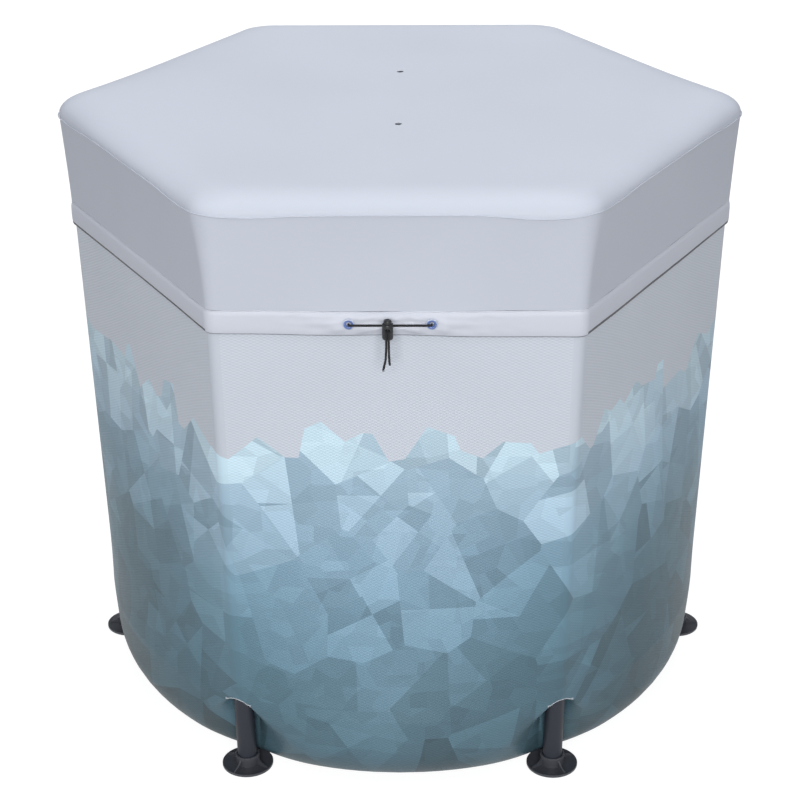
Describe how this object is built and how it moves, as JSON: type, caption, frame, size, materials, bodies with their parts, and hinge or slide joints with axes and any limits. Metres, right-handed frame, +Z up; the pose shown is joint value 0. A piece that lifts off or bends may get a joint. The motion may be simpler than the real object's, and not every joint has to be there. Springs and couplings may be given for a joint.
{
  "type": "cold plunge tub",
  "caption": "Soft-sided hexagonal cold plunge tub: a coated fabric wall and floor hung on a tube frame with flanged feet, a rear drain valve and a drawcord cover.",
  "frame": {"origin": "on the floor, at the tub's vertical axis", "axes": "+Z up, -Y to the front with the cord lock, +X through a corner leg"},
  "size_m": [0.8854, 0.8447, 0.7915],
  "materials": {
    "tube": "satin powder coat",
    "fitting": "moulded, fine grain",
    "wall": "PVC-coated scrim, printed",
    "liner": "PVC-coated scrim, plain",
    "cover": "smooth satin PVC",
    "rubber": "matt",
    "eyelet": "clear, blue-tinted",
    "cord": "round braided cord",
    "lock": "moulded, semi-gloss",
    "steel": "spring wire"
  },
  "bodies": {
    "tub": {"leg_1": "tube", "leg_2": "tube", "leg_3": "tube", "leg_4": "tube", "leg_5": "tube", "leg_6": "tube", "rail_1": "tube", "rail_2": "tube", "rail_3": "tube", "rail_4": "tube", "rail_5": "tube", "rail_6": "tube", "foot_1": "fitting", "foot_2": "fitting", "foot_3": "fitting", "foot_4": "fitting", "foot_5": "fitting", "foot_6": "fitting", "corner_joint_1": "fitting", "corner_joint_2": "fitting", "corner_joint_3": "fitting", "corner_joint_4": "fitting", "corner_joint_5": "fitting", "corner_joint_6": "fitting", "leg_pocket_1": "liner", "leg_pocket_2": "liner", "leg_pocket_3": "liner", "leg_pocket_4": "liner", "leg_pocket_5": "liner", "leg_pocket_6": "liner", "rail_sleeve_1": "liner", "rail_sleeve_2": "liner", "rail_sleeve_3": "liner", "rail_sleeve_4": "liner", "rail_sleeve_5": "liner", "rail_sleeve_6": "liner", "wall": "wall", "floor": "liner", "drain_valve": "fitting", "drain_gasket": "rubber", "drain_nut": "fitting"},
    "cover": {"cover_top": "cover", "cover_skirt": "cover", "cover_seam": "cover", "cover_hem": "cover", "cord_eyelet_left": "eyelet", "cord_eyelet_right": "eyelet", "drawcord_hem": "cord", "drawcord_left": "cord", "drawcord_right": "cord", "cord_lock_body": "lock", "cord_lock_spring": "steel"},
    "cord_lock_button": {"cord_lock_button": "lock"},
    "drain_seal": {"drain_cap_seal": "rubber"},
    "drain_cap": {"drain_cap": "fitting"}
  },
  "joints": [
    {"name": "cover_lift", "type": "slide", "parent": "tub", "child": "cover", "axis": [0, 0, 1], "range_m": [0, 0.3]},
    {"name": "lock_button_press", "type": "slide", "parent": "cover", "child": "cord_lock_button", "axis": [0, 0, -1], "range_m": [0, 0.0025], "stiffness_N_per_m": 400, "springref_m": -0.002, "deforming": ["cord_lock_spring"]},
    {"name": "drain_cap_travel", "type": "slide", "parent": "tub", "child": "drain_seal", "axis": [0, 1, 0], "range_m": [0, 0.012]},
    {"name": "drain_cap_turn", "type": "hinge", "parent": "drain_seal", "child": "drain_cap", "pos_m": [0, 0.42, 0.112], "axis": [0, 1, 0], "range_deg": [0, 1085]}
  ],
  "couplings": [
    {"joint": "drain_cap_turn", "follows": "drain_cap_travel", "rad_per_m": 1570.8}
  ]
}
